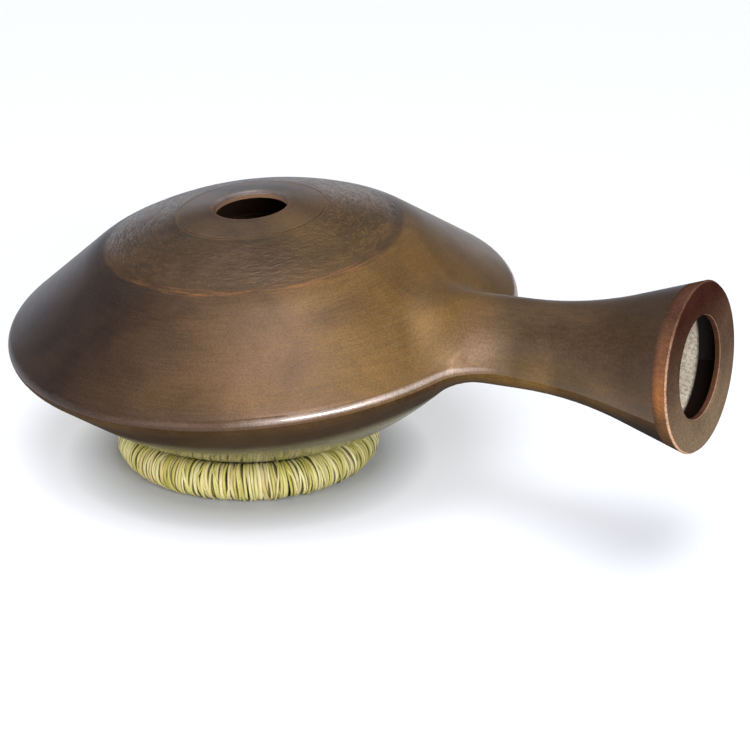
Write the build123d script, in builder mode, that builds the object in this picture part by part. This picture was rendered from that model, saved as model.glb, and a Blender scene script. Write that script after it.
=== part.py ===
"""Udu drum resting in a rush ring.

A hollow clay vessel: a lens-shaped chamber with a sound hole in its crown and a flared neck at
one side, cast as an upper and a lower shell and closed at the neck by a mouth ring. It sits loose
in a ring of tied straw wound with rush. Units are millimetres, Z is up and the neck points along X.
The origin is the middle of the footprint, on the floor.

The pieces are modelled round the middle of the ring. The vessel's own frame has its origin where
the chamber's axis crosses the parting plane of the shells. Its round bowl fits the ring at any
lean, so the vessel is modelled upright in that frame and then leaned about the middle of the
bowl's sphere.
"""
import os
from math import cos, pi, radians, sin, sqrt, tan

from build123d import *

os.makedirs("parts", exist_ok=True)

# Chamber
disc_radius = 197.2        # the widest circle, at the parting plane
rim_radius = 8.5           # rounding of the widest edge
skirt_angle = 37.0         # slope of the skirt that rises from the widest edge
shoulder_radius = 126.8    # where the skirt meets the cap
cap_crown_radius = 278.0   # sphere of the flatter cap round the sound hole
shoulder_round = 60.0      # rounding where the cap turns down into the skirt
flank_angle = 43.0         # slope of the bowl's flank below the widest edge
bowl_crown_radius = 230.0  # sphere of the bowl's bottom
wall = 6.0
inner_rim_radius = 9.0     # rounding inside the widest edge

# Sound hole
sound_hole_radius = 27.4
sound_lip_round = 2.8
collar_radius = 56.8       # smooth collar round the hole, ended by a fine groove
groove_width = 1.2
groove_depth = 0.6

# Neck, measured along its own axis from the chamber's axis
neck_rise_angle = 2.9      # the neck points slightly upwards
waist_gap = 34.8           # the narrowest place, beyond the widest edge
waist_radius = 32.4
flare_length = 131.0       # from the narrowest place to the mouth's face
mouth_radius = 59.8
flare_angle = 17.0         # of the straight flare behind the mouth
neck_blend = 55.0          # soft blend of neck and chamber

# Mouth ring
mouth_ring_depth = 12.0
mouth_plate = 5.0          # thickness of the ring's flat face
mouth_hole_radius = 35.5
mouth_bevel = 2.0
mouth_lip_round = 3.0

# Ring stand
stand_radius = 88.8        # middle line of the straw bundle
wrap_radius = 14.8         # bundle with its winding
strand_width = 3.4         # one rush strand, across its flats
strand_sides = 4
wrap_loops = 24
wrap_clearance = 0.3       # winding off the bundle
bundle_sides = 12
tie_count = 6
tie_width = 3.0            # flat twine round the bundle, bedded flush
tie_thickness = 0.8
tie_clearance = 0.1

# How the vessel sits
seat_clearance = 0.3       # bowl off the winding
lean_angle = 7.0
lean_turn = -18.0          # direction of the axis that it leans about, from X

# Worked out from the sizes above
flare = radians(flare_angle)
skirt = radians(skirt_angle)
flank = radians(flank_angle)
skirt_offset = (disc_radius - rim_radius) * sin(skirt) + rim_radius
flank_offset = (disc_radius - rim_radius) * sin(flank) + rim_radius
shoulder_height = (skirt_offset - shoulder_radius * sin(skirt)) / cos(skirt)
cap_centre = shoulder_height - sqrt(cap_crown_radius**2 - shoulder_radius**2)
dome_height = cap_centre + cap_crown_radius
bowl_centre = (bowl_crown_radius - flank_offset) / cos(flank)
neck_root = disc_radius / 2
waist_reach = disc_radius + waist_gap
mouth_reach = waist_reach + flare_length
neck_end = mouth_reach - mouth_ring_depth
plate_back = mouth_reach - mouth_plate
band_radius = mouth_radius - mouth_ring_depth * tan(flare)
neck_wall = wall / cos(flare)  # straight out from the neck's axis
flare_excess = flare_length * tan(flare) - (mouth_radius - waist_radius)
flare_round = flare_excess / (1 / cos(flare) - 1)
strand_radius = strand_width / 2 / cos(pi / strand_sides)
coil_radius = wrap_radius - strand_radius
core_radius = wrap_radius - 2 * strand_radius - wrap_clearance
tie_radius = core_radius
foot_flat = strand_width / 10
stand_height = wrap_radius - foot_flat
seat_drop = sqrt((bowl_crown_radius + seat_clearance + wrap_radius) ** 2 - stand_radius**2)
bowl_middle = stand_height + seat_drop
loop_angle = 2 * pi / (wrap_loops + 1)

# Vessel frame to part frame, and the plane of a section through the neck's axis
lean_axis = (cos(radians(lean_turn)), sin(radians(lean_turn)), 0)
seated = Location((0, 0, bowl_middle), lean_axis, lean_angle) * Location((0, 0, -bowl_centre))
neck_rise = radians(neck_rise_angle)
neck_plane = Plane((0, 0, 0), x_dir=(cos(neck_rise), 0, sin(neck_rise)), z_dir=(0, 1, 0))
neck_axis = Axis((0, 0, 0), (cos(neck_rise), 0, sin(neck_rise)))


def vessel_form(inset, rim_round, reach):
    """The chamber and its neck as one closed form, drawn in by inset, with the neck up to reach."""
    cap_sphere = cap_crown_radius - inset
    crown = (0, cap_centre + cap_sphere)
    shoulder_out = skirt_offset - inset - cap_centre * cos(skirt)
    shoulder_up = sqrt(cap_sphere**2 - shoulder_out**2)
    shoulder = (
        shoulder_out * sin(skirt) - shoulder_up * cos(skirt),
        cap_centre + shoulder_out * cos(skirt) + shoulder_up * sin(skirt),
    )
    rim_above = skirt_offset - inset - rim_round
    rim_below = flank_offset - inset - rim_round
    rim_x = (rim_above * cos(flank) + rim_below * cos(skirt)) / sin(skirt + flank)
    rim_z = (rim_above * sin(flank) - rim_below * sin(skirt)) / sin(skirt + flank)
    skirt_end = (rim_x + rim_round * sin(skirt), rim_z + rim_round * cos(skirt))
    flank_start = (rim_x + rim_round * sin(flank), rim_z - rim_round * cos(flank))
    bowl_sphere = bowl_crown_radius - inset
    bowl_start = (bowl_sphere * sin(flank), bowl_centre - bowl_sphere * cos(flank))
    bottom = (0, bowl_centre - bowl_sphere)
    waist = waist_radius - inset
    turn = flare_round + inset
    flare_start = (waist_reach + turn * sin(flare), waist + turn * (1 - cos(flare)))
    flare_end = (reach, flare_start[1] + (reach - flare_start[0]) * tan(flare))
    with BuildPart() as form:
        with BuildSketch(Plane.XZ) as lens:
            with BuildLine():
                RadiusArc(crown, shoulder, cap_sphere)
                Line(shoulder, skirt_end)
                RadiusArc(skirt_end, flank_start, rim_round)
                Line(flank_start, bowl_start)
                RadiusArc(bowl_start, bottom, bowl_sphere)
                Line(bottom, crown)
            make_face()
            fillet(lens.vertices().sort_by_distance(shoulder)[0], shoulder_round - inset)
        revolve(axis=Axis.Z)
        with BuildSketch(neck_plane):
            with BuildLine():
                Polyline((reach, 0), (neck_root, 0), (neck_root, waist), (waist_reach, waist))
                RadiusArc((waist_reach, waist), flare_start, -turn)
                Polyline(flare_start, flare_end, (reach, 0))
            make_face()
        revolve(axis=neck_axis)
        creases = form.edges(Select.NEW).filter_by(lambda e: e.bounding_box().max.X < waist_reach)
        fillet(creases, neck_blend + inset)
    return form.part


def seat(form):
    """Stands a piece of the vessel in the ring."""
    with BuildPart() as piece:
        with Locations(seated):
            add(form.part)
    return piece


# The fired vessel: both shells have the same wall and meet face to face at the parting plane
outside = vessel_form(0, rim_radius, neck_end)
inside = vessel_form(wall, inner_rim_radius, neck_end + wall)

with BuildPart() as upper_form:
    add(outside)
    add(inside, mode=Mode.SUBTRACT)
    split(bisect_by=Plane.XY, keep=Keep.TOP)
    with BuildSketch(Plane.XZ):
        Rectangle(sound_hole_radius, 2 * dome_height, align=Align.MIN)
    revolve(axis=Axis.Z, mode=Mode.SUBTRACT)
    lip = upper_form.edges().sort_by_distance((0, 0, dome_height))[:2]
    fillet(lip, sound_lip_round)
    with BuildSketch(Plane.XZ):
        with Locations((collar_radius, cap_centre + sqrt(cap_crown_radius**2 - collar_radius**2))):
            Rectangle(groove_width, 2 * groove_depth)
    revolve(axis=Axis.Z, mode=Mode.SUBTRACT)
upper_shell = seat(upper_form)
upper_shell.part.label = "upper_shell"

with BuildPart() as lower_form:
    add(outside)
    add(inside, mode=Mode.SUBTRACT)
    split(bisect_by=Plane.XY, keep=Keep.BOTTOM)
lower_shell = seat(lower_form)
lower_shell.part.label = "lower_shell"

# The ring that closes the neck: a band that carries on the flare, and a flat face with the mouth
with BuildPart() as ring_form:
    with BuildSketch(neck_plane) as ring_section:
        with BuildLine():
            Polyline(
                (neck_end, band_radius - neck_wall),
                (neck_end, band_radius),
                (mouth_reach, mouth_radius),
                (mouth_reach, mouth_hole_radius),
                (plate_back, mouth_hole_radius),
                (plate_back, mouth_radius - mouth_plate * tan(flare) - neck_wall),
                close=True,
            )
        make_face()
        front = ring_section.vertices()
        chamfer(front.sort_by_distance((mouth_reach, mouth_radius))[0], mouth_bevel)
        fillet(front.sort_by_distance((mouth_reach, mouth_hole_radius))[0], mouth_lip_round)
    revolve(axis=neck_axis)
mouth_ring = seat(ring_form)
mouth_ring.part.label = "mouth_ring"

# The ring stand: a bundle of straw tied with flat twine, then wound with one strand of rush
tie_angles = [2 * pi * (tie + 0.5) / tie_count for tie in range(tie_count)]
tie_planes = [
    Plane(
        (stand_radius * cos(angle), stand_radius * sin(angle), stand_height),
        x_dir=(cos(angle), sin(angle), 0),
        z_dir=(-sin(angle), cos(angle), 0),
    )
    for angle in tie_angles
]

with BuildPart() as stand_core:
    with BuildSketch(Plane.XZ):
        with Locations((stand_radius, stand_height)):
            RegularPolygon(core_radius, bundle_sides)
    revolve(axis=Axis.Z)
    with BuildSketch(*tie_planes):
        RegularPolygon(core_radius + wrap_clearance, bundle_sides)
        RegularPolygon(tie_radius - tie_thickness - tie_clearance, bundle_sides, mode=Mode.SUBTRACT)
    extrude(amount=tie_width / 2 + tie_clearance, both=True, mode=Mode.SUBTRACT)
stand_core.part.label = "stand_core"

with BuildPart() as core_ties:
    with BuildSketch(*tie_planes):
        RegularPolygon(tie_radius, bundle_sides)
        RegularPolygon(tie_radius - tie_thickness, bundle_sides, mode=Mode.SUBTRACT)
    extrude(amount=tie_width / 2, both=True)
core_ties.part.label = "core_ties"


def winding_point(loops):
    """The middle of the strand, and the way it runs, after so many loops round the bundle."""
    about = 2 * pi * loops
    along = loop_angle * loops
    out = stand_radius + coil_radius * cos(about)
    point = Vector(out * cos(along), out * sin(along), stand_height + coil_radius * sin(about))
    outward = -2 * pi * coil_radius * sin(about)
    onward = loop_angle * out
    upward = 2 * pi * coil_radius * cos(about)
    run = Vector(
        outward * cos(along) - onward * sin(along),
        outward * sin(along) + onward * cos(along),
        upward,
    )
    return point, run.normalized()


def arcs_meeting(start, start_run, end, end_run):
    """Where two arcs meet that leave start and reach end along the given runs."""
    chord = end - start
    sum_run = start_run + end_run
    spread = 2 * (1 - start_run.dot(end_run))
    reach = (sqrt(chord.dot(sum_run) ** 2 + spread * chord.dot(chord)) - chord.dot(sum_run)) / spread
    return (start + end + (start_run - end_run) * reach) * 0.5


quarter_turns = [winding_point(quarter / 4) for quarter in range(4 * wrap_loops + 1)]
with BuildPart() as wound_strand:
    with BuildLine() as winding:
        first, first_run = quarter_turns[0]
        Line(first - first_run * strand_width, first)
        for (start, start_run), (end, end_run) in zip(quarter_turns, quarter_turns[1:]):
            middle = arcs_meeting(start, start_run, end, end_run)
            half = TangentArc(start, middle, tangent=start_run)
            TangentArc(middle, end, tangent=half % 1)
        last, last_run = quarter_turns[-1]
        Line(last, last + last_run * strand_width)
    route = winding.wires()[0]
    with BuildSketch(Plane(route @ 0, z_dir=route % 0)):
        RegularPolygon(strand_radius, strand_sides)
    sweep(path=route, clean=False)

# The strand is pressed flat where the ring stands on it
with BuildPart() as stand_wrap:
    add(wound_strand.part.solid().split(Plane.XY, keep=Keep.TOP), clean=False)
stand_wrap.part.label = "stand_wrap"

steps_per_loop = 16
samples = [winding_point(step / steps_per_loop)[0] for step in range(steps_per_loop * wrap_loops + 1)]
least_pitch = min(
    (one - other).length
    for place, one in enumerate(samples)
    for other in samples[place + steps_per_loop // 2 : place + 2 * steps_per_loop]
)
print(f"winding: {wrap_loops} loops, {route.length:.0f} mm long, least gap {least_pitch - 2 * strand_radius:.2f} mm")

# All pieces move together, so that the middle of the footprint is the origin
pieces = [work.part for work in (upper_shell, lower_shell, mouth_ring, stand_core, core_ties, stand_wrap)]
footprint = Compound(pieces).bounding_box().center()
for piece in pieces:
    placed = piece.moved(Location((-footprint.X, -footprint.Y, 0)))
    placed.label = piece.label
    export_step(placed, f"parts/{placed.label}.step")
    print(placed.label, len(placed.solids()), round(placed.volume))
print(f"middle of the ring at {-footprint.X:.3f}, {-footprint.Y:.3f}")
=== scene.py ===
# %% [markdown]
# # A clay udu drum in its rush ring
#
# The drum is a hollow clay vessel: a lens-shaped chamber with a sound hole in its crown and a
# flared neck at one side. It rests loose in a ring of straw that is wound with rush. The clay
# pieces come from the CAD frame and get their finish here. The straw, its ties and the rush are
# wound here, because their shape is that of many thin strands.

# %% Load the CAD frame
from math import pi, radians

import bpy
from mathutils import Euler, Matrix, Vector


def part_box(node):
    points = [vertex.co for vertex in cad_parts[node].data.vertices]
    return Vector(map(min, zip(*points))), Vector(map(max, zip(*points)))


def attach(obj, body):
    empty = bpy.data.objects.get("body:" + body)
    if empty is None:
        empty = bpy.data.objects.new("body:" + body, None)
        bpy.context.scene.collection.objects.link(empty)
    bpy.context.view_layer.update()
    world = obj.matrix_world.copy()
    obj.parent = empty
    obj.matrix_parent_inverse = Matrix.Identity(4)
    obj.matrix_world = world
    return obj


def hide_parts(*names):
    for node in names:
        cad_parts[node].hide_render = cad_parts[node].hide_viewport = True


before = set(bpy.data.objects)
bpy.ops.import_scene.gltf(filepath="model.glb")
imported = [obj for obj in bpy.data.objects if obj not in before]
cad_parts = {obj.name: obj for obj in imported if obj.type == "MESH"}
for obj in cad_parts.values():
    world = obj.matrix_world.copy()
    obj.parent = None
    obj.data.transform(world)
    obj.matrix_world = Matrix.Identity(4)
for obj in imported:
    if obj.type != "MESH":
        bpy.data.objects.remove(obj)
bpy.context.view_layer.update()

print("nodes:", sorted(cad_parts))

# %% [markdown]
# ## Where things are
#
# The vessel leans in its ring, so its patterns are easiest to draw in the vessel's own frame. Its
# origin is in the middle of the chamber at the widest line, its Z axis runs through the sound hole
# and its X axis points to the neck. The lean turns the vessel about the middle of the bowl's
# sphere, which lies straight above the middle of the ring.

# %% The ring's middle and the vessel's frame
straw_low, straw_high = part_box("stand_core")
ring_middle = (straw_low + straw_high) / 2
ring_on_floor = Vector((ring_middle.x, ring_middle.y, 0.0))
ring_radius = 0.0888
bowl_sphere_radius = 0.2300
bowl_sphere_height = 0.24291
bowl_sphere_middle = ring_on_floor + Vector((0, 0, bowl_sphere_height))
widest_line_down = 0.12690  # from the middle of the bowl's sphere
lean = Euler((radians(6.6606), radians(-2.1583), radians(-0.1256)), "XYZ")
vessel_middle = bowl_sphere_middle + lean.to_matrix() @ Vector((0, 0, -widest_line_down))
neck_rise = radians(2.9)
print("ring middle:", [round(v, 4) for v in ring_middle])
print("vessel middle:", [round(v, 4) for v in vessel_middle])

# %% [markdown]
# ## The camera
#
# Its place and angles were found by fitting the outlines of hole, mouth, dome and ring to the
# picture. A lens of 86 mm on a 36 mm sensor looks down on the drum by 22.6 degrees.

# %% Camera
scene = bpy.context.scene
camera_from_ring = Vector((0.76344, -1.05783, 0.60634))
camera_data = bpy.data.cameras.new("camera")
camera_data.sensor_width = 36.0
camera_data.lens = 86.38
camera = bpy.data.objects.new("camera", camera_data)
camera.location = ring_on_floor + camera_from_ring
camera.rotation_euler = (radians(67.4146), radians(-0.6293), radians(31.7264))
scene.collection.objects.link(camera)
scene.camera = camera
print("camera:", [round(v, 4) for v in camera.location])

# %% [markdown]
# ## Small helpers
#
# Colours are written as hex values, as a paint chart gives them. A shader counts in linear light,
# so one function converts them. Another fills a node's sockets, each with a value or the output of
# another node. A third adds a node, sets its options, fills its sockets and gives back its first
# output unless another one is asked for. Sockets go by name or by number. A Map Range node has its
# value at 0, the range it comes from at 1 and 2 and the one it goes to at 3 and 4. A Mix node has
# its factor at 0 and its two colours at 6 and 7. The commonest kinds of node have short names. The
# last function starts a material.

# %% Colour and node helpers
MATH, VECTOR_MATH, MAP_RANGE = "ShaderNodeMath", "ShaderNodeVectorMath", "ShaderNodeMapRange"
MIX, RAMP, NOISE = "ShaderNodeMix", "ShaderNodeValToRGB", "ShaderNodeTexNoise"
COMBINE, SEPARATE = "ShaderNodeCombineXYZ", "ShaderNodeSeparateXYZ"


def paint(hex_colour):
    """A linear colour from an sRGB hex value."""
    parts = [int(hex_colour[place : place + 2], 16) / 255 for place in (1, 3, 5)]
    linear = [c / 12.92 if c <= 0.04045 else ((c + 0.055) / 1.055) ** 2.4 for c in parts]
    return (*linear, 1.0)


def fill(tree, node, sockets):
    """Fills a node's sockets with values or links."""
    for key, value in sockets.items():
        if isinstance(value, bpy.types.NodeSocket):
            tree.links.new(value, node.inputs[key])
        else:
            node.inputs[key].default_value = value


def add(tree, kind, sockets=None, out=0, stops=(), **settings):
    """Adds a node with its settings and filled sockets, gives a colour ramp its stops as (place,
    hex colour) pairs, and returns one output of the node, or all if out is None."""
    node = tree.nodes.new(kind)
    for name, value in settings.items():
        setattr(node, name, value)
    fill(tree, node, sockets or {})
    if stops:
        # A new ramp has two stops, which become the first and the last
        for element, (place, hex_colour) in zip(node.color_ramp.elements, (stops[0], stops[-1])):
            element.position = place
            element.color = paint(hex_colour)
        for place, hex_colour in stops[1:-1]:
            node.color_ramp.elements.new(place).color = paint(hex_colour)
    return node.outputs if out is None else node.outputs[out]


def new_material(name):
    """A material and its node tree."""
    material = bpy.data.materials.new(name)
    material.use_nodes = True
    return material, material.node_tree


print("a mid brown in linear light:", [round(v, 3) for v in paint("#6b5238")])

# %% [markdown]
# ## Floor
#
# The drum stands on a pale sheet that glows as if lit from below, as on a light table. This glow is
# painted light, and it keeps the shadows pale. It ends at the ring, which paints a dark shadow at
# the ring's foot. It is strongest a few centimetres away, where it paints light into the vessel's
# shadow, and weaker out on the open sheet.

# %% Floor
floor_reach = 9.0
floor_drop = 0.0002  # below the ring's foot, so that the two faces don't lie in one plane
# Metres from the ring's middle, and the painted light gained and lost there
rise_starts, rise_ends, painted_light_strength = 0.103, 0.146, 0.42
loss_starts, loss_ends, painted_light_loss = 0.18, 0.34, 0.15

floor_mesh = bpy.data.meshes.new("floor")
floor_mesh.from_pydata(
    [(-floor_reach, -floor_reach, 0), (floor_reach, -floor_reach, 0),
     (floor_reach, floor_reach, 0), (-floor_reach, floor_reach, 0)], [], [(0, 1, 2, 3)])
floor = bpy.data.objects.new("floor", floor_mesh)
floor.location = (0, 0, -floor_drop)
scene.collection.objects.link(floor)
floor_paint, floor_tree = new_material("white_floor_with_painted_light")
floor_place = add(floor_tree, "ShaderNodeTexCoord", out="Object")
from_ring = add(floor_tree, VECTOR_MATH, {
    0: floor_place, 1: ring_on_floor}, operation="DISTANCE", out="Value")
painted_light_near_ring = add(floor_tree, MAP_RANGE, {
    0: from_ring, 1: rise_starts, 2: rise_ends, 3: 0.0, 4: painted_light_strength})
painted_light_lost_far = add(floor_tree, MAP_RANGE, {
    0: from_ring, 1: loss_starts, 2: loss_ends, 3: 0.0, 4: painted_light_loss},
    interpolation_type="SMOOTHSTEP")
# Painted light: the sheet glows, but not at the ring's foot, where a painted shadow is left
painted_floor_light = add(floor_tree, MATH, {0: painted_light_near_ring, 1: painted_light_lost_far}, operation="SUBTRACT")
fill(floor_tree, floor_tree.nodes["Principled BSDF"], {
    "Base Color": paint("#d0d2d6"), "Roughness": 0.9, "Specular IOR Level": 0.1,
    "Emission Color": paint("#ffffff"), "Emission Strength": painted_floor_light})
floor_mesh.materials.append(floor_paint)
print("floor is", floor_mesh.vertices[2].co.x * 2, "m wide")

# %% [markdown]
# ## Light
#
# One soft light comes from above, a little from the front and the right, and lays the sheen on the
# skirt. It is a sun with a wide angle, because it then lights the whole sheet evenly. A lamp at the
# right draws the bright line on the rim and shines into the mouth. A large one in front lights the
# rush and the root of the neck. Each was placed by reflecting the view at a bright spot.

# %% Lights
# Name, kind, strength, colour, place from the vessel's middle, form
lamps = (
    ("overhead_soft_light", "SUN", 1.35, "#f2f5ff", (0.28, -0.38, 1.74), {"angle": radians(32)}),
    ("front_softbox", "AREA", 10.0, "#fbf9ff", (-0.10, -1.55, 0.36),
     {"shape": "SQUARE", "size": 0.9}),
    ("side_softbox", "AREA", 14.0, "#f4f6ff", (1.25, -0.87, 0.58),
     {"shape": "RECTANGLE", "size": 0.9, "size_y": 0.2}))
for name, kind, energy, hex_colour, from_vessel, form in lamps:
    lamp = bpy.data.lights.new(name, kind)
    lamp.energy = energy
    lamp.color = paint(hex_colour)[:3]
    for setting, value in form.items():
        setattr(lamp, setting, value)
    holder = bpy.data.objects.new(name, lamp)
    holder.location = vessel_middle + Vector(from_vessel)
    holder.rotation_euler = (-Vector(from_vessel)).to_track_quat("-Z", "Y").to_euler()
    scene.collection.objects.link(holder)

# %% [markdown]
# The world is bright overhead, dim at the sides and cool white at the horizon, which edges the dome
# in grey-blue. Its ramp goes by the height of a direction: 0 is the horizon and 1 straight up.

# %% World
sky_stops = (
    (0.0, "#d0dcf2"), (0.09, "#7d848e"), (0.22, "#4e525a"), (0.6, "#6c6e74"), (0.82, "#a5a5a5"),
    (0.93, "#dedede"), (1.0, "#ffffff"))
world = bpy.data.worlds.new("white_sweep")
world.use_nodes = True
sky = world.node_tree
sky_way = add(sky, "ShaderNodeTexCoord", out="Generated")
sky_height = add(sky, SEPARATE, {0: sky_way}, out=2)
sky_colour = add(sky, RAMP, {"Fac": sky_height}, stops=sky_stops)
fill(sky, sky.nodes["Background"], {"Color": sky_colour, "Strength": 2.0})
scene.world = world
scene.view_settings.view_transform = "Standard"
print("sky stops:", len(sky_stops))

# %% [markdown]
# ## Burnished clay: places and patterns
#
# The vessel is coated with a fine slip and rubbed with a smooth stone before it is fired. Such a
# slip is a dielectric, but this one holds mica flakes that lie flat under the stone and give the
# brown a bronze sheen, so it is partly metallic and of middling roughness.
#
# All marks depend on where a point is on the vessel. A Mapping node of the texture kind undoes the
# lean and gives millimetres. From that come the radius from the axis, the height, and the place
# along and across the neck. Patterns that run round the chamber use the direction from the axis,
# which changes slowly along a ring, and the way down the profile, which changes fast across it.
# A point is on the inside where its wall faces the axis of the chamber, or of the neck.

# %% Places on the vessel
millimetre = 0.001
chamber_end, inside_limit = 100.0, -8.0


def vessel_places(tree):
    """Sockets with a point's place on the vessel in millimetres, and whether it is inside."""
    coordinates = add(tree, "ShaderNodeTexCoord", out=None)
    place = add(tree, "ShaderNodeMapping", {
        "Vector": coordinates["Object"], "Location": vessel_middle, "Rotation": lean,
        "Scale": [millimetre] * 3}, vector_type="TEXTURE")
    facing = add(tree, "ShaderNodeMapping", {
        "Vector": coordinates["Normal"], "Rotation": lean}, vector_type="TEXTURE")
    axes = add(tree, SEPARATE, {0: place}, out=None)
    flat = add(tree, COMBINE, {0: axes[0], 1: axes[1]})
    radius = add(tree, VECTOR_MATH, {0: flat}, operation="LENGTH", out="Value")
    direction = add(tree, VECTOR_MATH, {0: flat}, operation="NORMALIZE")
    neck = add(tree, "ShaderNodeMapping", {
        "Vector": place, "Rotation": (0, -neck_rise, 0)}, vector_type="TEXTURE")
    neck_axes = add(tree, SEPARATE, {0: neck}, out=None)
    neck_flat = add(tree, COMBINE, {1: neck_axes[1], 2: neck_axes[2]})
    neck_radius = add(tree, VECTOR_MATH, {0: neck_flat}, operation="LENGTH", out="Value")
    # Only points behind the neck's root are measured from the chamber's middle
    in_chamber = add(tree, MATH, {0: axes[0], 1: chamber_end}, operation="LESS_THAN")
    chamber_only = add(tree, COMBINE, {0: in_chamber, 1: 1.0, 2: 1.0})
    outwards = add(tree, VECTOR_MATH, {0: place, 1: chamber_only}, operation="MULTIPLY")
    turned = add(tree, VECTOR_MATH, {0: outwards, 1: facing}, operation="DOT_PRODUCT", out="Value")
    inside = add(tree, MATH, {0: turned, 1: inside_limit}, operation="LESS_THAN")
    # The way down the profile: outwards above the widest line, inwards below it
    level = add(tree, MATH, {0: axes[2]}, operation="ABSOLUTE")
    down = add(tree, MATH, {0: radius, 1: level}, operation="SUBTRACT")
    return {"place": place, "radius": radius, "height": axes[2], "direction": direction,
            "down": down, "neck": neck, "along_neck": neck_axes[0], "neck_radius": neck_radius,
            "neck_up": neck_axes[2], "inside": inside}


# %% [markdown]
# Four patterns are shared by all clay pieces. The mottle is the slow change of colour that the fire
# leaves. The burnish marks are the streaks of the rubbing stone, round the chamber and along the
# neck. Real ones are about 1.5 mm wide, and these are a little coarser so that they show. The grain
# is the fine speckle of mica and grit. The bare clay of the inside is pale and matt, darker in the
# chamber, and black behind the mouth. All sizes are in millimetres.

# %% Patterns of the clay
mottle_size, grain_size, grit_size = 60.0, 1.3, 2.0
mark_width, mark_length, marks_in_radian = 2.2, 25.0, 6.0


def ring_place(tree, direction, in_radian, across, width):
    """A place in a noise that changes slowly round the axis and fast across."""
    ring = add(tree, VECTOR_MATH, {
        0: direction, 1: (in_radian, in_radian, 0.0)}, operation="MULTIPLY")
    steps = add(tree, MATH, {0: across, 1: 1 / width}, operation="MULTIPLY")
    rise = add(tree, COMBINE, {2: steps})
    return add(tree, VECTOR_MATH, {0: ring, 1: rise})


def clay_patterns(tree, at):
    """Sockets with the mottle, burnish marks and grain, and the colour of the bare clay inside."""
    mottle = add(tree, NOISE, {
        "Vector": at["place"], "Scale": 1 / mottle_size, "Detail": 4.0, "Roughness": 0.55,
        "Distortion": 0.5}, out="Fac")
    round_chamber = ring_place(tree, at["direction"], marks_in_radian, at["down"], mark_width)
    down_neck = add(tree, VECTOR_MATH, {
        0: at["neck"], 1: (1 / mark_length, 1 / mark_width, 1 / mark_width)}, operation="MULTIPLY")
    on_neck = add(tree, MAP_RANGE, {0: at["along_neck"], 1: 170.0, 2: 200.0})
    mark_place = add(tree, MIX, {
        0: on_neck, 4: round_chamber, 5: down_neck}, data_type="VECTOR", out=1)
    marks = add(tree, NOISE, {
        "Vector": mark_place, "Scale": 1.0, "Detail": 3.0, "Roughness": 0.6}, out="Fac")
    grain = add(tree, NOISE, {
        "Vector": at["place"], "Scale": 1 / grain_size, "Detail": 2.0,
        "Roughness": 0.75}, out="Fac")
    grit = add(tree, NOISE, {
        "Vector": at["place"], "Scale": 1 / grit_size, "Detail": 3.0,
        "Roughness": 0.7}, out="Fac")
    bare = add(tree, RAMP, {"Fac": grit}, stops=((0.32, "#a4967f"), (0.62, "#e6d9c2")))
    in_neck = add(tree, MAP_RANGE, {0: at["along_neck"], 1: 150.0, 2: 230.0})
    black_behind_mouth = add(tree, MAP_RANGE, {0: at["along_neck"], 1: 339.5, 2: 341.5})
    bare = add(tree, MIX, {0: in_neck, 6: paint("#8d6b50"), 7: bare}, data_type="RGBA", out=2)
    bare = add(tree, MIX, {0: black_behind_mouth, 6: bare, 7: paint("#1d1613")}, data_type="RGBA", out=2)
    return {"mottle": mottle, "marks": marks, "grain": grain, "bare": bare}


print("marks are drawn", mark_width, "mm wide")

# %% [markdown]
# Over its own zones a piece has coats of other colours. Masks say where a coat lies: sockets that
# are 1 where it covers and 0 where it doesn't. They are multiplied where a coat has several limits.


# %% Coats of colour
def lay(tree, colour, masks, coats):
    """Lays coats on a colour, each given as its colour and the names of the masks that limit it."""
    for over, first, *others in coats:
        mask = masks[first]
        for other in others:
            mask = add(tree, MATH, {0: mask, 1: masks[other]}, operation="MULTIPLY")
        colour = add(tree, MIX, {0: mask, 6: colour, 7: over}, data_type="RGBA", out=2)
    return colour


# %% [markdown]
# The last shared step joins them: the piece's own colour is shaded by mottle, marks and grain, the
# bare clay is laid on the inside, and the bumps are stacked. A bump's distance is its real height.

# %% Finishing a clay piece
pattern_shades = (("mottle", 0.76, 1.24), ("marks", 0.9, 1.1), ("grain", 0.8, 1.2))
noise_low, noise_high = 0.36, 0.64  # most of a noise lies between these
matt_roughness, polished_roughness, marks_roughness = 0.5, 0.08, 0.15
mark_height, grain_height = 0.012, 0.03  # mm


def burnished_clay(name, dress, specular):
    """A clay material. dress gives the piece's colour, its gloss from 0, matt, to 1, polished, the
    share of mica in its slip, or None, and its own bumps as (height, mm) pairs."""
    material, tree = new_material(name)
    at = vessel_places(tree)
    patterns = clay_patterns(tree, at)
    colour, gloss, mica, bumps = dress(tree, at, patterns)
    for pattern, dark, light in pattern_shades:
        shade = add(tree, MAP_RANGE, {
            0: patterns[pattern], 1: noise_low, 2: noise_high, 3: dark, 4: light})
        colour = add(tree, VECTOR_MATH, {0: colour, "Scale": shade}, operation="SCALE")
    colour = add(tree, MIX, {
        0: at["inside"], 6: colour, 7: patterns["bare"]}, data_type="RGBA", out=2)
    roughness = add(tree, MAP_RANGE, {0: gloss, 3: matt_roughness, 4: polished_roughness})
    roughness = add(tree, MATH, {
        0: patterns["marks"], 1: marks_roughness, 2: roughness}, operation="MULTIPLY_ADD")
    roughness = add(tree, MATH, {0: roughness, 1: at["inside"]}, operation="MAXIMUM")
    normal = None
    for height, millimetres in (
            *bumps, (patterns["marks"], mark_height), (patterns["grain"], grain_height)):
        sockets = {"Height": height, "Distance": millimetres / 1000, "Strength": 1.0}
        if normal is not None:
            sockets["Normal"] = normal
        normal = add(tree, "ShaderNodeBump", sockets)
    surface = {"Base Color": colour, "Roughness": roughness, "Normal": normal,
               "Specular IOR Level": specular}
    # Mica glints as metal does, and there is none on the inside
    if mica is not None:
        surface["Metallic"] = add(tree, MAP_RANGE, {0: at["inside"], 3: mica, 4: 0.0})
    fill(tree, tree.nodes["Principled BSDF"], surface)
    return material


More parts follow.
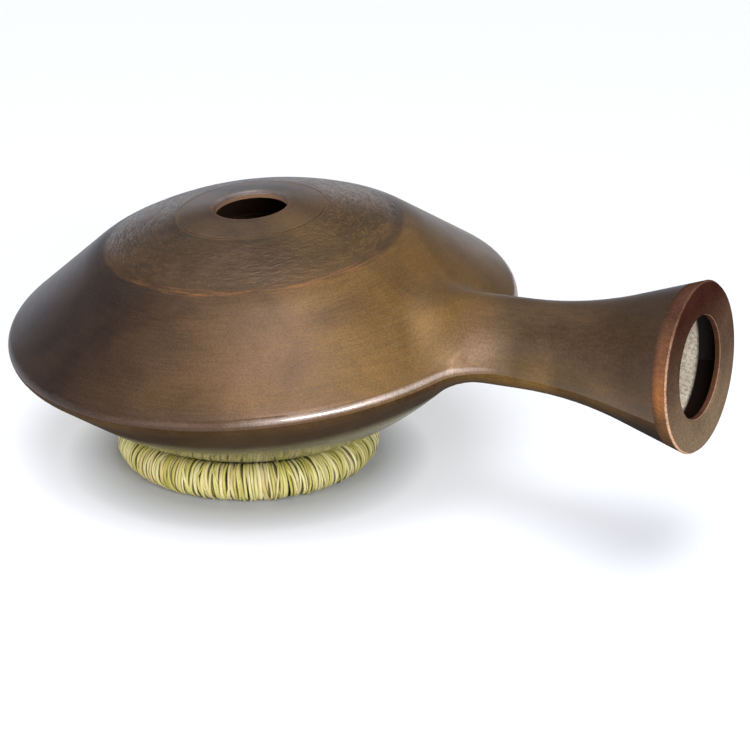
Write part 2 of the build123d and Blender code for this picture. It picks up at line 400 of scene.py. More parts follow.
print("clay is", matt_roughness, "rough where matt and", polished_roughness, "where polished")

# %% [markdown]
# ## Upper shell: zones
#
# From the crown down, the upper half has a copper-brown lip round the sound hole, a smooth collar
# with fine turned rings, a cap that was left wrinkled like leather, and a plain golden skirt. A
# colour ramp over the radius holds these zones, with stops in millimetres from the axis. A second
# ramp holds the neck's colour along its length, and serves the lower half too.

# %% Zones of the upper shell, and the neck's ramp
zones_reach = 200.0
# The pale stops at 56.3 and 57.3 mm are painted light in the groove at the collar's edge, against
# the shade that falls in it
zone_stops = (
    (27.0, "#6f4c35"), (30.2, "#694932"), (32.0, "#55402d"), (36.0, "#5c4733"), (55.4, "#5e4933"),
    (56.3, "#7a6048"), (57.3, "#7a6048"), (58.2, "#4e3b27"), (106.0, "#503b26"), (111.0, "#4d3822"),
    (114.0, "#5e4428"), (165.0, "#60452a"), (184.0, "#624725"), (194.0, "#5f452d"),
    (196.0, "#5c432c"))
neck_root, neck_end = 200.0, 360.0
neck_begins, neck_is_clear = 185.0, 225.0  # the neck's colour comes in between these
neck_golden, neck_brown = "#73572d", "#4b3725"


def upper_zones(tree, at):
    """The colour of lip, collar, cap and skirt."""
    way_out = add(tree, MAP_RANGE, {0: at["radius"], 1: 0.0, 2: zones_reach})
    return add(tree, RAMP, {"Fac": way_out}, stops=[
        (radius / zones_reach, hex_colour) for radius, hex_colour in zone_stops])


def neck_ramp(tree, at, root_colour, mouth_colour):
    """The colour along the neck, from its root to its mouth."""
    way_along = add(tree, MAP_RANGE, {0: at["along_neck"], 1: neck_root, 2: neck_end})
    return add(tree, RAMP, {"Fac": way_along}, stops=((0.0, root_colour), (1.0, mouth_colour)))


print("zones:", len(zone_stops), "stops")

# %% [markdown]
# ## Upper shell: fire, wear and painted light
#
# Fire, hands and stone have left their traces on these zones, and some masks paint light and shade
# on them. Each is a mask that one row of a table describes: what it goes by, where it starts and
# ends, and its values there. The last column says whether it changes evenly or softly between them.

# %% Masks of the upper shell
# Two directions in the vessel's frame
toward_viewer = Vector((0.585, -0.811, 0.0))
viewer_right = Vector((0.851, 0.525, 0.0))
cap_edge, rim_line = 113.2, 4.0  # mm from the axis, and above the seam
even, soft = "LINEAR", "SMOOTHSTEP"


def upper_masks(tree, at, marks, front, left):
    """Masks for the traces of fire, hands and stone, and for painted light and shade, by name."""
    off = {}
    for name, source, line in (
            ("cap_edge", at["radius"], cap_edge), ("rim_line", at["height"], rim_line)):
        away = add(tree, MATH, {0: source, 1: line}, operation="SUBTRACT")
        off[name] = add(tree, MATH, {0: away}, operation="ABSOLUTE")
    masks = {}
    for name, source, start, end, low, high, step in (
            ("on_skirt", at["radius"], 112.0, 116.0, 0.0, 1.0, even),
            ("on_neck", at["along_neck"], neck_begins, neck_is_clear, 0.0, 1.0, even),
            ("off_neck", at["along_neck"], 225.0, 180.0, 0.0, 1.0, even),
            # A smoky left side and a golden right side: fire marks, with painted shade on the left
            # and painted light on the right
            ("smoky_painted_shade", left, -0.15, 0.85, 0.0, 0.85, soft),
            ("golden_painted_light", left, -0.12, -0.6, 0.0, 0.85, soft),
            # An orange line under the cap's edge, broken by the marks and only at the front
            ("line", off["cap_edge"], 5.0, 0.0, 0.0, 0.55, even),
            ("in_front", front, 0.4, 0.75, 0.0, 1.0, even),
            ("broken", marks, 0.48, 0.58, 0.0, 1.0, even),
            # A pale sheen painted on the blend at the neck's root, below its top
            ("root_painted_sheen", at["along_neck"], 160.0, 195.0, 0.0, 0.75, soft),
            ("before_neck", at["along_neck"], 245.0, 205.0, 0.0, 1.0, soft),
            ("under_top", at["neck_up"], 30.0, 5.0, 0.0, 1.0, even),
            # A grey reflection of the pale sky, painted on the far side
            ("far_side_painted_reflection", front, 0.35, -0.7, 0.0, 0.45, soft),
            # A bright line painted along the rim on its right side, a painted highlight, where the
            # rim is also polished
            ("rim_painted_highlight", off["rim_line"], 2.6, 0.4, 0.0, 0.8, soft),
            ("at_rim", at["radius"], 192.0, 194.5, 0.0, 1.0, even),
            ("grasped_and_highlight_side", left, 0.12, -0.15, 0.0, 1.0, soft),
            # Painted shade along the cap's edge on its right side
            ("painted_edge_shade", at["radius"], 102.0, 111.0, 0.0, 0.4, soft),
            ("before_skirt", at["radius"], 116.0, 113.0, 0.0, 1.0, even),
            ("at_right", left, -0.35, -0.75, 0.0, 1.0, even),
            # The lower side of the neck, golden at its root
            ("low", at["neck_up"], 14.0, -6.0, 0.0, 0.9, soft),
            ("fading", at["along_neck"], 225.0, 345.0, 1.0, 0.15, even)):
        masks[name] = add(tree, MAP_RANGE, {
            0: source, 1: start, 2: end, 3: low, 4: high}, interpolation_type=step)
    masks["less_on_cap"] = add(tree, MAP_RANGE, {0: masks["on_skirt"], 3: 0.5, 4: 1.0})
    return masks


print("cap edge at", cap_edge, "mm from the axis")

# %% [markdown]
# ## Upper shell: cap and collar
#
# The cap's wrinkles lie round the axis. They are strongest at the back and fade to the front. The
# collar was smoothed on a turntable, which left fine rings. Both are heights for the bump.

# %% Wrinkles and turned rings
fold_width, folds_in_radian, fold_height = 3.4, 10.0, 2.0
turn_width, turn_height = 1.6, 0.015


def cap_folds(tree, at, front):
    """The height of the cap's wrinkles, from 0 to 1."""
    folds = add(tree, NOISE, {
        "Vector": ring_place(tree, at["direction"], folds_in_radian, at["radius"], fold_width),
        "Scale": 1.0, "Detail": 2.0, "Roughness": 0.5, "Distortion": 0.6}, out="Fac")
    folds = add(tree, MAP_RANGE, {0: folds, 1: 0.35, 2: 0.65})
    for source, start, end, low in (
            (at["radius"], 57.5, 63.0, 0.0), (at["radius"], 113.0, 104.0, 0.0),
            (front, 0.8, -0.4, 0.15)):
        limit = add(tree, MAP_RANGE, {0: source, 1: start, 2: end, 3: low})
        folds = add(tree, MATH, {0: folds, 1: limit}, operation="MULTIPLY")
    return folds


def collar_turns(tree, at):
    """The height of the collar's turned rings, from -1 to 1."""
    turns = add(tree, MATH, {0: at["radius"], 1: 2 * pi / turn_width}, operation="MULTIPLY")
    turns = add(tree, MATH, {0: turns}, operation="SINE")
    on_collar = add(tree, MAP_RANGE, {0: at["radius"], 1: 56.0, 2: 50.0})
    return add(tree, MATH, {0: turns, 1: on_collar}, operation="MULTIPLY")


print("wrinkles are", fold_width, "mm wide, and turned rings", turn_width)

# %% [markdown]
# ## Upper shell: finish
#
# The coats go on in the order of this table. Some paint light and shade: the sheen at the neck's
# root, the grey reflection on the far side, the bright line on the rim, the shade at the cap's
# edge, and in part the smoky left and the golden right. The tops of the wrinkles are painted
# lighter and their valleys darker. The rim is polished where it is grasped. From its root on, the
# neck is rubbed less than the chamber and stays matt.

# %% Upper shell finish
upper_coats = (
    (neck_golden, "low", "on_neck", "fading"),
    ("#967a62", "root_painted_sheen", "before_neck", "under_top"),
    ("#705226", "golden_painted_light", "off_neck", "less_on_cap"),
    ("#858586", "far_side_painted_reflection"),
    ("#cab6a8", "rim_painted_highlight", "at_rim", "grasped_and_highlight_side", "off_neck"),
    ("#3b2c1f", "painted_edge_shade", "before_skirt", "at_right"),
    ("#2f221c", "smoky_painted_shade", "on_skirt"),
    ("#86552f", "line", "in_front", "broken"))
upper_mica = 0.35


def dress_upper_shell(tree, at, patterns):
    """Colour, gloss, mica and bumps of the upper half."""
    front, left = (
        add(tree, VECTOR_MATH, {
            0: at["direction"], 1: way}, operation="DOT_PRODUCT", out="Value")
        for way in (toward_viewer, -viewer_right))
    masks = upper_masks(tree, at, patterns["marks"], front, left)
    neck_colour = neck_ramp(tree, at, "#60492e", neck_brown)
    colour = lay(tree, upper_zones(tree, at), masks, [
        (neck_colour, "on_neck"), *((paint(over), *limits) for over, *limits in upper_coats)])
    folds = cap_folds(tree, at, front)
    # Painted light and shade on the wrinkles: tops lighter, valleys darker
    painted_fold_shade = add(tree, MAP_RANGE, {0: folds, 3: 0.84, 4: 1.34})
    colour = add(tree, VECTOR_MATH, {0: colour, "Scale": painted_fold_shade}, operation="SCALE")
    polished = add(tree, MATH, {0: masks["at_rim"], 1: masks["grasped_and_highlight_side"]}, operation="MULTIPLY")
    polished = add(tree, MAP_RANGE, {0: polished, 3: 0.42, 4: 1.0})
    reached = add(tree, MAP_RANGE, {0: at["along_neck"], 1: 140.0, 2: 185.0, 3: 1.0, 4: 0.3})
    gloss = add(tree, MATH, {0: polished, 1: reached}, operation="MULTIPLY")
    bumps = [(folds, fold_height), (collar_turns(tree, at), turn_height)]
    return colour, gloss, upper_mica, bumps


upper_clay = burnished_clay("burnished_mica_slip_upper", dress_upper_shell, specular=0.32)
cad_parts["upper_shell"].material_slots[0].material = upper_clay
print("upper shell:", len(upper_clay.node_tree.nodes), "nodes")

# %% [markdown]
# ## Lower shell
#
# The lower half is dark with painted shade: brown near the rim, greyer below it and near black
# under the neck. Down from its seam the neck goes on in the upper half's colour, golden at first.
# The ring has polished the bowl where it rubs, so the rush is mirrored there, and a painted
# reflection of the rush lies on that zone too.

# %% Lower shell finish
lower_depth = 100.0
lower_painted_shade_stops = ((0.0, "#44321f"), (0.14, "#3b2c1c"), (0.32, "#3a2f22"), (1.0, "#2c2923"))


def dress_lower_shell(tree, at, patterns):
    """Colour, gloss, mica and bumps of the lower half."""
    way_down = add(tree, MAP_RANGE, {0: at["height"], 1: 0.0, 2: -lower_depth})
    # Painted shade: darker downwards from the rim, and near black under the neck further on
    zones = add(tree, RAMP, {"Fac": way_down}, stops=lower_painted_shade_stops)
    masks = {}
    for name, source, start, end, high, step in (
            ("on_neck", at["along_neck"], neck_begins, neck_is_clear, 1.0, even),
            ("by_seam", at["neck_up"], -34.0, -12.0, 0.9, soft),
            ("fading", at["along_neck"], 225.0, 345.0, 1.0, even),
            ("polished_with_painted_sheen", at["radius"], 174.0, 150.0, 1.0, soft),
            ("off_middle", at["radius"], 45.0, 85.0, 1.0, soft)):
        masks[name] = add(tree, MAP_RANGE, {
            0: source, 1: start, 2: end, 4: high}, interpolation_type=step)
    masks["polished_with_painted_sheen"] = add(tree, MATH, {
        0: masks["polished_with_painted_sheen"], 1: masks["off_middle"]}, operation="MULTIPLY")
    seam_colour = add(tree, MIX, {
        0: masks["fading"], 6: paint(neck_golden), 7: paint(neck_brown)}, data_type="RGBA", out=2)
    # The last coat is a painted reflection of the rush, on the zone that the ring has polished
    colour = lay(tree, zones, masks, (
        (neck_ramp(tree, at, "#1f1811", "#1d1610"), "on_neck"), (seam_colour, "by_seam", "on_neck"),
        (paint("#766f4c"), "polished_with_painted_sheen")))
    mica = add(tree, MAP_RANGE, {0: masks["polished_with_painted_sheen"], 3: 0.1, 4: 0.65})
    gloss = add(tree, MAP_RANGE, {0: masks["polished_with_painted_sheen"], 3: 0.5, 4: 1.0})
    return colour, gloss, mica, []


lower_clay = burnished_clay("burnished_slip_lower_with_painted_shade", dress_lower_shell, specular=0.0)
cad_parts["lower_shell"].material_slots[0].material = lower_clay
print("lower shell:", len(lower_clay.node_tree.nodes), "nodes")

# %% [markdown]
# ## Mouth ring
#
# The flat ring that closes the neck is a separate piece of redder clay, without mica and without
# specular sheen, so its sheen is painted. Its side shows as an orange band behind the face, darker
# above and below, with painted shade at its bottom. Its bevelled edge and the lip of its hole carry
# painted highlights, and its face is dark red-brown above and golden below, a painted sheen. Masks
# along the neck and across it divide side, bevel and face. The edge of the hole belongs to the
# face, and only what is behind it is bare.

# %% Mouth ring finish
bevel_middle, face_back = 362.0, 356.6  # mm along the neck
hole_edge = 36.0  # mm from the neck's axis


def dress_mouth_ring(tree, at, patterns):
    """Colour, gloss, mica and bumps of the mouth ring."""
    colours = {}
    # A painted sheen on the face's golden lower part, and painted shade at the bottom of the side's
    # band
    for name, top, bottom, stops in (
            ("face", 45.0, -45.0, ((0.0, "#3c2119"), (1.0, "#6b5945"))),
            ("side", 50.0, -40.0, ((0.0, "#55392c"), (0.3, "#764e36"), (0.5, "#976239"),
                                   (0.7, "#62452c"), (1.0, "#3a2d1e")))):
        way_down = add(tree, MAP_RANGE, {0: at["neck_up"], 1: top, 2: bottom})
        colours[name] = add(tree, RAMP, {"Fac": way_down}, stops=stops)
    off_bevel = add(tree, MATH, {0: at["along_neck"], 1: bevel_middle}, operation="SUBTRACT")
    off_bevel = add(tree, MATH, {0: off_bevel}, operation="ABSOLUTE")
    masks = {}
    # The bevel and the hole's lip carry painted highlights; the bevel's is brightest low down and
    # broken by the grain
    for name, source, start, end, low in (
            ("off_neck", at["along_neck"], 350.5, 356.0, 0.0),
            ("on_side", at["along_neck"], 361.6, 360.8, 0.0),
            ("bevel_with_painted_highlight", off_bevel, 0.8, 0.4, 0.0),
            ("outer", at["neck_radius"], 55.0, 57.0, 0.0),
            ("polished_with_painted_sheen", at["neck_up"], 52.0, 15.0, 0.15),
            ("chipped", patterns["grain"], 0.35, 0.5, 0.6),
            ("hole_lip_painted_highlight", at["along_neck"], 361.0, 361.8, 0.0)):
        masks[name] = add(tree, MAP_RANGE, {0: source, 1: start, 2: end, 3: low})
    for name, source, limit in (
            ("in_hole", at["neck_radius"], hole_edge), ("behind", at["along_neck"], face_back)):
        masks[name] = add(tree, MATH, {0: source, 1: limit}, operation="LESS_THAN")
    for limit in ("outer", "polished_with_painted_sheen", "chipped"):
        masks["bevel_with_painted_highlight"] = add(tree, MATH, {0: masks["bevel_with_painted_highlight"], 1: masks[limit]}, operation="MULTIPLY")
    at["inside"] = add(tree, MATH, {0: at["inside"], 1: masks["behind"]}, operation="MULTIPLY")
    side = add(tree, MIX, {
        0: masks["off_neck"], 6: paint("#463325"), 7: colours["side"]}, data_type="RGBA", out=2)
    colour = lay(tree, colours["face"], masks, (
        (side, "on_side"), (paint("#4f3324"), "in_hole"), (paint("#b08c70"), "hole_lip_painted_highlight", "in_hole"),
        (paint("#b08a6c"), "bevel_with_painted_highlight")))
    gloss = add(tree, MAP_RANGE, {0: masks["bevel_with_painted_highlight"], 3: 0.35, 4: 0.95})
    return colour, gloss, None, []


ring_clay = burnished_clay("burnished_red_clay_mouth", dress_mouth_ring, specular=0.0)
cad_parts["mouth_ring"].material_slots[0].material = ring_clay
print("mouth ring:", len(ring_clay.node_tree.nodes), "nodes")

# %% [markdown]
# ## Dried rush
#
# Rush is a stem that is flattened as it is wound. Dry, it is yellow-green and slightly waxy, each
# strand in a tint of its own, with fine fibres along it, and its edges darkened with painted shade.
# The trees below store attributes for this: a strand's own tint, the way along it and, if it is
# flat, the way across it.
# The fibres are about 0.4 mm wide and 20 mm long, and blotches go over many strands.

# %% Rush and straw finishes
fibre_rate = (4.0, 3.5, 90.0)  # along a strand, across it, and from one strand to another
fibre_height = 0.0003
blotch_size, blotch_strength = 0.022, 0.9


def dried_stem(name, tints, roughness):
    """A material for rush or straw, from the strand's own tint and the fibres along it."""
    material, tree = new_material(name)
    tint, along, across = (
        add(tree, "ShaderNodeAttribute", attribute_name=attribute, out="Fac")
        for attribute in ("strand_tint", "strand_along", "strand_across"))
    on_strand = add(tree, COMBINE, {0: along, 1: across, 2: tint})
    fibre_place = add(tree, VECTOR_MATH, {0: on_strand, 1: fibre_rate}, operation="MULTIPLY")
    fibres = add(tree, NOISE, {
        "Vector": fibre_place, "Scale": 1.0, "Detail": 3.0, "Roughness": 0.65}, out="Fac")
    blotches = add(tree, NOISE, {
        "Vector": add(tree, "ShaderNodeTexCoord", out="Object"), "Scale": 1 / blotch_size,
        "Detail": 2.0}, out="Fac")
    uneven = add(tree, MATH, {0: blotches, 1: 0.5}, operation="SUBTRACT")
    mixed = add(tree, MATH, {0: uneven, 1: blotch_strength, 2: tint}, operation="MULTIPLY_ADD")
    colour = add(tree, RAMP, {"Fac": mixed}, stops=[
        (step / (len(tints) - 1), hex_colour) for step, hex_colour in enumerate(tints)])
    # Painted shade: each strand is darkened towards its edges, where it meets the next
    painted_edge_shade = add(tree, MATH, {0: across}, operation="ABSOLUTE")
    painted_edge_shade = add(tree, MAP_RANGE, {0: painted_edge_shade, 1: 0.5, 2: 1.0, 3: 1.0, 4: 0.18})
    shade = add(tree, MAP_RANGE, {0: fibres, 1: 0.3, 2: 0.7, 3: 0.8, 4: 1.25})
    shade = add(tree, MATH, {0: shade, 1: painted_edge_shade}, operation="MULTIPLY")
    colour = add(tree, VECTOR_MATH, {0: colour, "Scale": shade}, operation="SCALE")
    bump = add(tree, "ShaderNodeBump", {
        "Height": fibres, "Distance": fibre_height, "Strength": 0.8})
    fill(tree, tree.nodes["Principled BSDF"], {
        "Base Color": colour, "Normal": bump, "Roughness": roughness, "IOR": 1.45})
    return material


rush = dried_stem("dried_wound_rush", ("#b9ad50", "#cfc36c", "#ddd288", "#e6dc9e", "#cfb876"), 0.42)
# The under layer's rush is a darker copy of the rush: painted shade under the top layer
shaded_rush = dried_stem("dried_rush_in_shade", ("#6d662f", "#7f7638", "#8f8646"), 0.5)
straw = dried_stem("dried_straw_bundle", ("#6a6232", "#8c8446", "#a89a5c"), 0.6)
twine = dried_stem("laid_flax_twine", ("#7a6a48", "#94825c"), 0.7)
print("stems:", rush.name, shaded_rush.name, straw.name, twine.name)

# %% [markdown]
# ## A tree that winds strands round the ring
#
# The rush goes round the straw 244 times in its top layer. Geometry Nodes wind it, because the
# strands are alike but for a few random values. Both trees of this script start and end in the same
# way: inputs with names, so that each piece sets its own sizes, and at the end real geometry in
# place of instances, with its material.


# %% Start and end of a tree
def start_tree(name, inputs):
    """A geometry tree with named inputs and one geometry output, and the sockets of its inputs."""
    tree = bpy.data.node_groups.new(name, "GeometryNodeTree")
    for label, kind, value in inputs:
        made = tree.interface.new_socket(label, in_out="INPUT", socket_type="NodeSocket" + kind)
        if value is not None:
            made.default_value = value
    tree.interface.new_socket("Geometry", in_out="OUTPUT", socket_type="NodeSocketGeometry")
    return tree, tree.nodes.new("NodeGroupInput").outputs


def end_tree(tree, geometry, material):
    """Shades the geometry smooth, makes it real, gives it its material and hands it out."""
    smooth = add(tree, "GeometryNodeSetShadeSmooth", {0: geometry})
    whole = add(tree, "GeometryNodeRealizeInstances", {0: smooth})
    whole = add(tree, "GeometryNodeSetMaterial", {"Geometry": whole, "Material": material})
    tree.links.new(whole, tree.nodes.new("NodeGroupOutput").inputs[0])


# %% [markdown]
# One strand is a flat oval that is swept round a circle. It stores the way along it, there and back
# so that its ends meet, and the way across it, from -1 to 1.

# %% One strand
oval_corners = 8


def marked_loop(tree, steps, radius):
    """A circle that stores the way along it."""
    loop = add(tree, "GeometryNodeCurvePrimitiveCircle", {"Resolution": steps, "Radius": radius})
    along = add(tree, "GeometryNodeSplineParameter", out="Factor")
    there_and_back = add(tree, MATH, {0: along, 1: 0.5}, operation="PINGPONG")
    return add(tree, "GeometryNodeStoreNamedAttribute", {
        "Geometry": loop, "Name": "strand_along", "Value": there_and_back},
        data_type="FLOAT", domain="POINT")


def one_strand(tree, size):
    """A strand round the origin, as a mesh with its own coordinates."""
    half_thick, half_wide = (
        add(tree, MATH, {0: size[label], 1: 0.5}, operation="MULTIPLY")
        for label in ("Thickness", "Width"))
    oval = add(tree, "GeometryNodeCurvePrimitiveCircle", {
        "Resolution": oval_corners, "Radius": 1.0})
    oval_place = add(tree, "GeometryNodeInputPosition")
    across = add(tree, SEPARATE, {0: oval_place}, out=1)
    oval = add(tree, "GeometryNodeStoreNamedAttribute", {
        "Geometry": oval, "Name": "strand_across", "Value": across},
        data_type="FLOAT", domain="POINT")
    flatness = add(tree, COMBINE, {0: half_thick, 1: half_wide, 2: 1.0})
    oval = add(tree, "GeometryNodeTransform", {"Geometry": oval, "Scale": flatness})
    loop = marked_loop(tree, size["Around"], size["Wrap Radius"])
    return add(tree, "GeometryNodeCurveToMesh", {"Curve": loop, "Profile Curve": oval})


print("a strand's section has", oval_corners, "corners")

# %% [markdown]
# Points round the ring carry copies of that strand. Each is turned to face along the ring and
# slanted a little, and random values give it a place, a slant, a width, a girth and a tint of its
# own. A random value goes by the strand's number and a seed, so it is the same on every run.

# %% Strands round the ring
common_slant = 0.1
uneven_pitch = 0.2
strand_draws = (
    ("tilt", -1.0, 1.0, 11.0), ("breadth", 0.7, 1.3, 23.0), ("girth", 0.97, 1.04, 37.0),
    ("tint", 0.0, 1.0, 51.0))


def strands_on_ring(tree, size, strand, middle):
    """Copies of a strand round the ring, made real."""
    index = add(tree, "GeometryNodeInputIndex")
    pitch = add(tree, MATH, {0: 2 * pi, 1: size["Strands"]}, operation="DIVIDE")
    uneven = add(tree, "FunctionNodeRandomValue", {
        2: -uneven_pitch, 3: uneven_pitch, "ID": index, "Seed": size["Seed"]},
        data_type="FLOAT", out=1)
    drawn = {}
    for name, low, high, offset in strand_draws:
        seed = add(tree, MATH, {0: size["Seed"], 1: offset})
        drawn[name] = add(tree, "FunctionNodeRandomValue", {
            2: low, 3: high, "ID": index, "Seed": seed}, data_type="FLOAT", out=1)
    step = add(tree, MATH, {0: index, 1: uneven})
    turn = add(tree, MATH, {0: step, 1: pitch}, operation="MULTIPLY")
    east, north = (add(tree, MATH, {0: turn}, operation=wave) for wave in ("COSINE", "SINE"))
    spoke = add(tree, COMBINE, {0: east, 1: north})
    spot = add(tree, VECTOR_MATH, {0: spoke, "Scale": size["Ring Radius"]}, operation="SCALE")
    spots = add(tree, "GeometryNodePoints", {
        "Count": size["Strands"],
        "Position": add(tree, VECTOR_MATH, {0: spot, 1: middle})})
    stand_up = add(tree, MATH, {
        0: drawn["tilt"], 1: size["Slant"], 2: pi / 2 + common_slant}, operation="MULTIPLY_ADD")
    pose = add(tree, "FunctionNodeEulerToRotation", {0: add(tree, COMBINE, {0: stand_up, 2: turn})})
    stretch = add(tree, COMBINE, {0: drawn["girth"], 1: drawn["girth"], 2: drawn["breadth"]})
    copies = add(tree, "GeometryNodeInstanceOnPoints", {
        "Points": spots, "Instance": strand, "Rotation": pose, "Scale": stretch})
    copies = add(tree, "GeometryNodeStoreNamedAttribute", {
        "Geometry": copies, "Name": "strand_tint", "Value": drawn["tint"]},
        data_type="FLOAT", domain="INSTANCE")
    return add(tree, "GeometryNodeRealizeInstances", {0: copies})


print("random values of a strand: pitch,", ", ".join(draw[0] for draw in strand_draws))

# %% [markdown]
# A noise then shifts each strand along the ring and swells it away from the straw, so that no two
# lie alike. The strand's own tint moves its place in the noise.

# %% Wandering strands
wander_size = 0.026
tint_apart = 7.0


def let_wander(tree, size, strands, middle):
    """Strands that are shifted along the ring and swollen by a noise."""
    here = add(tree, "GeometryNodeInputPosition")
    own_tint = add(tree, "GeometryNodeInputNamedAttribute", {
        "Name": "strand_tint"}, data_type="FLOAT")
    own = add(tree, MATH, {0: own_tint, 1: tint_apart}, operation="MULTIPLY")
    own = add(tree, COMBINE, {2: own})
    wander = add(tree, NOISE, {
        "Vector": add(tree, VECTOR_MATH, {0: here, 1: own}),
        "Scale": 1 / wander_size, "Detail": 1.0}, out="Color")
    wander = add(tree, VECTOR_MATH, {0: wander, 1: (0.5, 0.5, 0.5)}, operation="SUBTRACT")
    parts = add(tree, SEPARATE, {0: wander}, out=None)
    from_middle = add(tree, VECTOR_MATH, {0: here, 1: middle}, operation="SUBTRACT")
    # Along the ring
    ring_way = add(tree, VECTOR_MATH, {
        0: (0.0, 0.0, 1.0), 1: from_middle}, operation="CROSS_PRODUCT")
    ring_way = add(tree, VECTOR_MATH, {0: ring_way}, operation="NORMALIZE")
    # Away from the nearest point of the ring's middle line
    level = add(tree, VECTOR_MATH, {0: from_middle, 1: (1.0, 1.0, 0.0)}, operation="MULTIPLY")
    level = add(tree, VECTOR_MATH, {0: level}, operation="NORMALIZE")
    on_line = add(tree, VECTOR_MATH, {0: level, "Scale": size["Ring Radius"]}, operation="SCALE")
    away = add(tree, VECTOR_MATH, {0: from_middle, 1: on_line}, operation="SUBTRACT")
    away = add(tree, VECTOR_MATH, {0: away}, operation="NORMALIZE")
    moves = []
    for way, part, label in ((ring_way, parts[0], "Shift"), (away, parts[1], "Swell")):
        amount = add(tree, MATH, {0: part, 1: size[label]}, operation="MULTIPLY")
        moves.append(add(tree, VECTOR_MATH, {0: way, "Scale": amount}, operation="SCALE"))
    move = add(tree, VECTOR_MATH, {0: moves[0], 1: moves[1]})
    return add(tree, "GeometryNodeSetPosition", {"Geometry": strands, "Offset": move})


print("strands wander by a noise of", wander_size, "m")

# %% [markdown]
# Two last steps push the strands out of the bowl's sphere and lay them flat on the floor.

# %% Clear of the bowl and the floor
bowl_clearance = 0.0003


def settle(tree, strands):
    """Strands that stay out of the bowl and above the floor."""
    here = add(tree, "GeometryNodeInputPosition")
    reach = add(tree, VECTOR_MATH, {0: here, 1: bowl_sphere_middle}, operation="SUBTRACT")
    far = add(tree, VECTOR_MATH, {0: reach}, operation="LENGTH", out="Value")
    far = add(tree, MATH, {0: far, 1: bowl_sphere_radius + bowl_clearance}, operation="MAXIMUM")
    reach = add(tree, VECTOR_MATH, {0: reach}, operation="NORMALIZE")
    reach = add(tree, VECTOR_MATH, {0: reach, "Scale": far}, operation="SCALE")
    clear = add(tree, VECTOR_MATH, {0: reach, 1: bowl_sphere_middle})
    clear = add(tree, VECTOR_MATH, {
        0: clear, 1: (-floor_reach, -floor_reach, 0.0)}, operation="MAXIMUM")
    return add(tree, "GeometryNodeSetPosition", {"Geometry": strands, "Position": clear})


print("strands stay", bowl_clearance, "m off the bowl")

# %% [markdown]
# The tree joins these steps. The values of its inputs are those of the top layer.

# %% Wound strands tree
winding, size = start_tree("wound_strands", (
    ("Ring Radius", "Float", ring_radius), ("Ring Height", "Float", ring_middle.z),
    ("Wrap Radius", "Float", 0.0131), ("Strands", "Int", 244), ("Width", "Float", 0.0029),
    ("Thickness", "Float", 0.0018), ("Slant", "Float", 0.09), ("Shift", "Float", 0.004),
    ("Swell", "Float", 0.002), ("Around", "Int", 30), ("Seed", "Int", 3),
    ("Material", "Material", None)))
middle = add(winding, COMBINE, {0: ring_middle.x, 1: ring_middle.y, 2: size["Ring Height"]})
strands = strands_on_ring(winding, size, one_strand(winding, size), middle)
strands = settle(winding, let_wander(winding, size, strands, middle))
end_tree(winding, strands, size["Material"])
print("winding tree:", len(winding.nodes), "nodes")

# %% [markdown]
# A modifier runs the tree. Its inputs are set by each socket's identifier before it is evaluated
# for the first time. The result is then made a plain mesh, because the export knows no modifiers
# of this kind.


# %% Running a tree
def grow(name, tree, sizes):
    """A plain mesh piece from a tree and the values of its named inputs."""
    holder = bpy.data.objects.new(name + "_seed", bpy.data.meshes.new(name + "_seed"))
    scene.collection.objects.link(holder)
    modifier = holder.modifiers.new("tree", "NODES")
    modifier.node_group = tree
    for socket in tree.interface.items_tree:
        if socket.in_out == "INPUT" and socket.name in sizes:
            modifier[socket.identifier] = sizes[socket.name]
    graph = bpy.context.evaluated_depsgraph_get()
    mesh = bpy.data.meshes.new_from_object(holder.evaluated_get(graph), depsgraph=graph)
    bpy.data.objects.remove(holder)
    mesh.name = name
    piece = bpy.data.objects.new(name, mesh)
    scene.collection.objects.link(piece)
    low, high = ([round(end(v.co[axis] for v in mesh.vertices), 4) for axis in range(3)]
                 for end in (min, max))
    print(name, len(mesh.polygons), "faces", low, high)
    return piece


# %% [markdown]
# ## The ring's pieces
#
# The rush lies in three layers: a wide one that covers the straw, a close one over it, and a few
# thin strands that cross it. The six ties are flat twine round the bundle, under the rush.

# %% Rush winding and ties
rush_winding = grow("rush_winding", winding, {"Material": rush})
rush_under = grow("rush_under", winding, {
    "Material": shaded_rush, "Strands": 120, "Wrap Radius": 0.0119, "Width": 0.0056,
    "Thickness": 0.0014, "Slant": 0.1, "Shift": 0.003, "Swell": 0.001, "Seed": 15})
rush_crossing = grow("rush_crossing", winding, {
    "Material": rush, "Strands": 52, "Wrap Radius": 0.0138, "Width": 0.0023, "Thickness": 0.0013,
    "Slant": 0.3, "Shift": 0.01, "Swell": 0.002, "Seed": 8})
bundle_ties = grow("bundle_ties", winding, {
    "Material": twine, "Strands": 6, "Wrap Radius": 0.0101, "Width": 0.0032, "Thickness": 0.0009,
    "Slant": 0.02, "Shift": 0.0, "Swell": 0.0, "Seed": 5})

# %% [markdown]
# The bundle is 44 straws that run round the ring. Seen in a cut they are packed as seeds in a
# sunflower, each turned from the last by the golden angle, which fills a round section evenly. A
# straw is a unit ring that is scaled to its own radius as it is placed, and then swept.

# %% Straw bundle tree
golden_angle = 2.39996  # radians
straw_corners, straw_steps = 6, 72


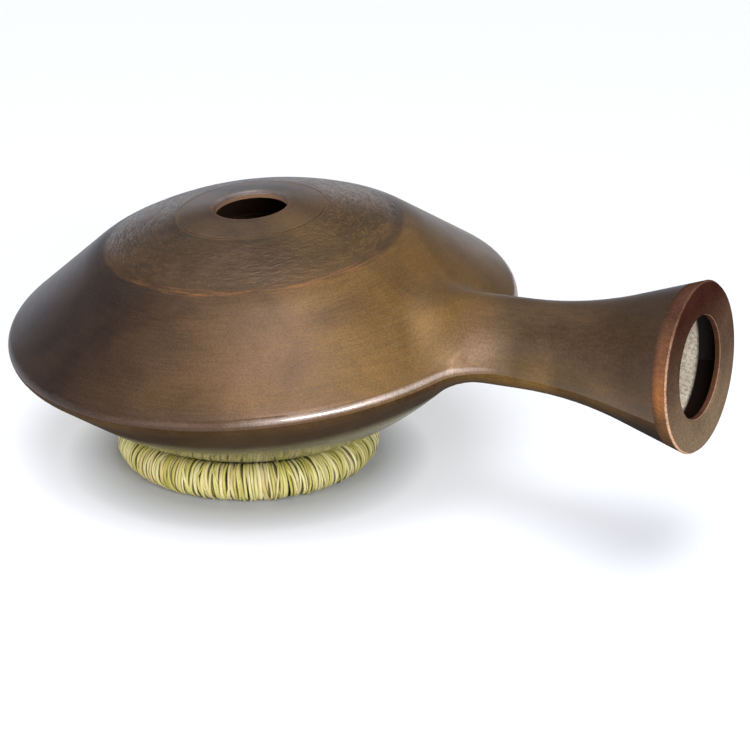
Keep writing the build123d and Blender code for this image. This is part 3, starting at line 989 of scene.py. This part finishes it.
def straws_on_ring(tree, size):
    """Straws round the ring, packed in a round bundle."""
    index = add(tree, "GeometryNodeInputIndex")
    count = add(tree, MATH, {0: index, 1: 0.5})
    part = add(tree, MATH, {0: count, 1: size["Straws"]}, operation="DIVIDE")
    packed = add(tree, MATH, {0: part}, operation="SQRT")
    room = add(tree, MATH, {
        0: size["Bundle Radius"], 1: size["Straw Radius"]}, operation="SUBTRACT")
    off = add(tree, MATH, {0: packed, 1: room}, operation="MULTIPLY")
    turn = add(tree, MATH, {0: index, 1: golden_angle}, operation="MULTIPLY")
    outward, upward = (
        add(tree, MATH, {
            0: add(tree, MATH, {0: turn}, operation=wave), 1: off},
            operation="MULTIPLY")
        for wave in ("COSINE", "SINE"))
    height = add(tree, MATH, {0: upward, 1: ring_middle.z})
    spots = add(tree, "GeometryNodePoints", {
        "Count": size["Straws"],
        "Position": add(tree, COMBINE, {
            0: ring_middle.x, 1: ring_middle.y, 2: height})})
    wide = add(tree, MATH, {0: outward, 1: ring_radius})
    rings = add(tree, "GeometryNodeInstanceOnPoints", {
        "Points": spots, "Instance": marked_loop(tree, straw_steps, 1.0),
        "Scale": add(tree, COMBINE, {0: wide, 1: wide, 2: 1.0})})
    tint = add(tree, "FunctionNodeRandomValue", {
        2: 0.0, 3: 1.0, "ID": index, "Seed": size["Seed"]}, data_type="FLOAT", out=1)
    rings = add(tree, "GeometryNodeStoreNamedAttribute", {
        "Geometry": rings, "Name": "strand_tint", "Value": tint},
        data_type="FLOAT", domain="INSTANCE")
    rings = add(tree, "GeometryNodeRealizeInstances", {0: rings})
    reed = add(tree, "GeometryNodeCurvePrimitiveCircle", {
        "Resolution": straw_corners, "Radius": size["Straw Radius"]})
    return add(tree, "GeometryNodeCurveToMesh", {"Curve": rings, "Profile Curve": reed})


bundle, size = start_tree("straw_bundle", (
    ("Bundle Radius", "Float", 0.0096), ("Straws", "Int", 44), ("Straw Radius", "Float", 0.0013),
    ("Seed", "Int", 4), ("Material", "Material", None)))
end_tree(bundle, straws_on_ring(bundle, size), size["Material"])
straw_bundle = grow("straw_bundle", bundle, {"Material": straw})

# %% [markdown]
# ## Riding on the stand
#
# Each new piece rides on the stand and takes the place of its CAD solid.

# %% Ride and replace
for piece, node in ((rush_winding, "stand_wrap"), (rush_crossing, "stand_wrap"),
                    (rush_under, "stand_wrap"),
                    (bundle_ties, "core_ties"), (straw_bundle, "stand_core")):
    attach(piece, "stand")
    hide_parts(node)
